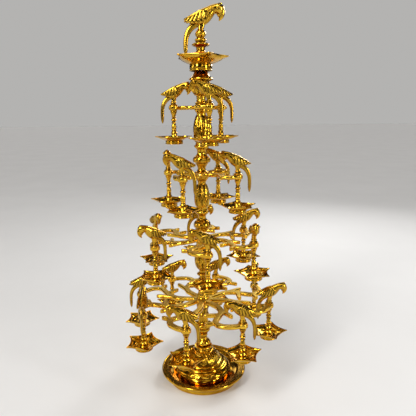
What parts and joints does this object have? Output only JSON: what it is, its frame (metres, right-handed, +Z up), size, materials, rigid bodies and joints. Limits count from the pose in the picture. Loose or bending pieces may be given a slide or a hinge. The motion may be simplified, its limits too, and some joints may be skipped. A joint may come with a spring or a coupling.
{
  "type": "standing oil lamp",
  "caption": "Tall brass standing oil lamp: a turned column with tiers of turning branches, hanging five-wick bowls and parrot ornaments.",
  "frame": {"origin": "centre of the foot ring, on the surface the lamp stands on", "axes": "+Z up along the column, +X to the right and -Y towards the viewer"},
  "size_m": [0.3452, 0.3433, 0.7628],
  "materials": {
    "polished_brass": "polished, with dark patina in the grooves",
    "cast_brass": "sand-cast granular top with polished sides",
    "red_washer": "satin",
    "steel": "brushed"
  },
  "bodies": {
    "stand": {"base_plate": "polished_brass", "pedestal": "polished_brass", "lower_column": "polished_brass", "middle_column": "polished_brass", "carved_column": "polished_brass", "leaf_column": "polished_brass", "upper_column": "polished_brass", "tie_rod": "steel", "rod_nut_and_washer": "steel", "top_bowl": "polished_brass", "finial_washer": "red_washer", "finial": "polished_brass"},
    "top_bird": {"top_parrot": "polished_brass"},
    "tier_1": {"branch_1": "cast_brass"},
    "tier_2": {"branch_2": "cast_brass"},
    "tier_3": {"branch_3": "cast_brass"},
    "tier_4": {"branch_4": "cast_brass"},
    "lamp_set_1_1": {"lamp_1_1": "polished_brass", "parrot_1_1": "polished_brass"},
    "lamp_set_1_2": {"lamp_1_2": "polished_brass", "parrot_1_2": "polished_brass"},
    "lamp_set_1_3": {"lamp_1_3": "polished_brass", "parrot_1_3": "polished_brass"},
    "lamp_set_2_1": {"lamp_2_1": "polished_brass", "parrot_2_1": "polished_brass"},
    "lamp_set_2_2": {"lamp_2_2": "polished_brass", "parrot_2_2": "polished_brass"},
    "lamp_set_2_3": {"lamp_2_3": "polished_brass", "parrot_2_3": "polished_brass"},
    "lamp_set_2_4": {"lamp_2_4": "polished_brass", "parrot_2_4": "polished_brass"},
    "lamp_set_3_1": {"lamp_3_1": "polished_brass", "parrot_3_1": "polished_brass"},
    "lamp_set_3_2": {"lamp_3_2": "polished_brass", "parrot_3_2": "polished_brass"},
    "lamp_set_3_3": {"lamp_3_3": "polished_brass", "parrot_3_3": "polished_brass"},
    "lamp_set_3_4": {"lamp_3_4": "polished_brass", "parrot_3_4": "polished_brass"},
    "lamp_set_3_5": {"lamp_3_5": "polished_brass", "parrot_3_5": "polished_brass"},
    "lamp_set_3_6": {"lamp_3_6": "polished_brass", "parrot_3_6": "polished_brass"},
    "lamp_set_4_1": {"lamp_4_1": "polished_brass", "parrot_4_1": "polished_brass"},
    "lamp_set_4_2": {"lamp_4_2": "polished_brass", "parrot_4_2": "polished_brass"},
    "lamp_set_4_3": {"lamp_4_3": "polished_brass", "parrot_4_3": "polished_brass"},
    "lamp_set_4_4": {"lamp_4_4": "polished_brass", "parrot_4_4": "polished_brass"},
    "lamp_set_4_5": {"lamp_4_5": "polished_brass", "parrot_4_5": "polished_brass"},
    "lamp_set_4_6": {"lamp_4_6": "polished_brass", "parrot_4_6": "polished_brass"},
    "lamp_set_4_7": {"lamp_4_7": "polished_brass", "parrot_4_7": "polished_brass"},
    "lamp_set_4_8": {"lamp_4_8": "polished_brass", "parrot_4_8": "polished_brass"}
  },
  "joints": [
    {"name": "tier_1_turn", "type": "hinge", "parent": "stand", "child": "tier_1", "pos_m": [0, 0, 0.57505], "axis": [0, 0, 1], "continuous": true},
    {"name": "tier_2_turn", "type": "hinge", "parent": "stand", "child": "tier_2", "pos_m": [0, 0, 0.44405], "axis": [0, 0, 1], "continuous": true},
    {"name": "tier_3_turn", "type": "hinge", "parent": "stand", "child": "tier_3", "pos_m": [0, 0, 0.31105], "axis": [0, 0, 1], "continuous": true},
    {"name": "tier_4_turn", "type": "hinge", "parent": "stand", "child": "tier_4", "pos_m": [0, 0, 0.17605], "axis": [0, 0, 1], "continuous": true},
    {"name": "top_bird_turn", "type": "hinge", "parent": "stand", "child": "top_bird", "pos_m": [0, 0, 0.712], "axis": [0, 0, 1], "continuous": true},
    {"name": "lamp_1_1_turn", "type": "hinge", "parent": "tier_1", "child": "lamp_set_1_1", "pos_m": [0.01462, -0.05457, 0.57505], "axis": [0, 0, 1], "range_deg": [-168, 82]},
    {"name": "lamp_1_2_turn", "type": "hinge", "parent": "tier_1", "child": "lamp_set_1_2", "pos_m": [0.03995, 0.03995, 0.57505], "axis": [0, 0, 1], "range_deg": [-48, 202]},
    {"name": "lamp_1_3_turn", "type": "hinge", "parent": "tier_1", "child": "lamp_set_1_3", "pos_m": [-0.05457, 0.01462, 0.57505], "axis": [0, 0, 1], "range_deg": [-108, 142]},
    {"name": "lamp_2_1_turn", "type": "hinge", "parent": "tier_2", "child": "lamp_set_2_1", "pos_m": [-0.03541, -0.0695, 0.44405], "axis": [0, 0, 1], "range_deg": [-202, 41]},
    {"name": "lamp_2_2_turn", "type": "hinge", "parent": "tier_2", "child": "lamp_set_2_2", "pos_m": [0.0695, -0.03541, 0.44405], "axis": [0, 0, 1], "range_deg": [-112, 131]},
    {"name": "lamp_2_3_turn", "type": "hinge", "parent": "tier_2", "child": "lamp_set_2_3", "pos_m": [0.03541, 0.0695, 0.44405], "axis": [0, 0, 1], "range_deg": [-22, 221]},
    {"name": "lamp_2_4_turn", "type": "hinge", "parent": "tier_2", "child": "lamp_set_2_4", "pos_m": [-0.0695, 0.03541, 0.44405], "axis": [0, 0, 1], "range_deg": [-22, 221]},
    {"name": "lamp_3_1_turn", "type": "hinge", "parent": "tier_3", "child": "lamp_set_3_1", "pos_m": [0.00972, -0.11108, 0.31105], "axis": [0, 0, 1], "range_deg": [-165, 141]},
    {"name": "lamp_3_2_turn", "type": "hinge", "parent": "tier_3", "child": "lamp_set_3_2", "pos_m": [0.10105, -0.04712, 0.31105], "axis": [0, 0, 1], "range_deg": [-195, 111]},
    {"name": "lamp_3_3_turn", "type": "hinge", "parent": "tier_3", "child": "lamp_set_3_3", "pos_m": [0.09134, 0.06395, 0.31105], "axis": [0, 0, 1], "range_deg": [-225, 81]},
    {"name": "lamp_3_4_turn", "type": "hinge", "parent": "tier_3", "child": "lamp_set_3_4", "pos_m": [-0.00972, 0.11108, 0.31105], "axis": [0, 0, 1], "range_deg": [-165, 141]},
    {"name": "lamp_3_5_turn", "type": "hinge", "parent": "tier_3", "child": "lamp_set_3_5", "pos_m": [-0.10105, 0.04712, 0.31105], "axis": [0, 0, 1], "range_deg": [-35, 271]},
    {"name": "lamp_3_6_turn", "type": "hinge", "parent": "tier_3", "child": "lamp_set_3_6", "pos_m": [-0.09134, -0.06395, 0.31105], "axis": [0, 0, 1], "range_deg": [-260, 46]},
    {"name": "lamp_4_1_turn", "type": "hinge", "parent": "tier_4", "child": "lamp_set_4_1", "pos_m": [-0.03138, -0.13592, 0.17605], "axis": [0, 0, 1], "range_deg": [-180, 127]},
    {"name": "lamp_4_2_turn", "type": "hinge", "parent": "tier_4", "child": "lamp_set_4_2", "pos_m": [0.07392, -0.1183, 0.17605], "axis": [0, 0, 1], "range_deg": [-135, 172]},
    {"name": "lamp_4_3_turn", "type": "hinge", "parent": "tier_4", "child": "lamp_set_4_3", "pos_m": [0.13592, -0.03138, 0.17605], "axis": [0, 0, 1], "range_deg": [-270, 37]},
    {"name": "lamp_4_4_turn", "type": "hinge", "parent": "tier_4", "child": "lamp_set_4_4", "pos_m": [0.1183, 0.07392, 0.17605], "axis": [0, 0, 1], "range_deg": [-303, 4]},
    {"name": "lamp_4_5_turn", "type": "hinge", "parent": "tier_4", "child": "lamp_set_4_5", "pos_m": [0.03138, 0.13592, 0.17605], "axis": [0, 0, 1], "range_deg": [-180, 127]},
    {"name": "lamp_4_6_turn", "type": "hinge", "parent": "tier_4", "child": "lamp_set_4_6", "pos_m": [-0.07392, 0.1183, 0.17605], "axis": [0, 0, 1], "range_deg": [-135, 172]},
    {"name": "lamp_4_7_turn", "type": "hinge", "parent": "tier_4", "child": "lamp_set_4_7", "pos_m": [-0.13592, 0.03138, 0.17605], "axis": [0, 0, 1], "range_deg": [-90, 217]},
    {"name": "lamp_4_8_turn", "type": "hinge", "parent": "tier_4", "child": "lamp_set_4_8", "pos_m": [-0.1183, -0.07392, 0.17605], "axis": [0, 0, 1], "range_deg": [-135, 172]}
  ]
}
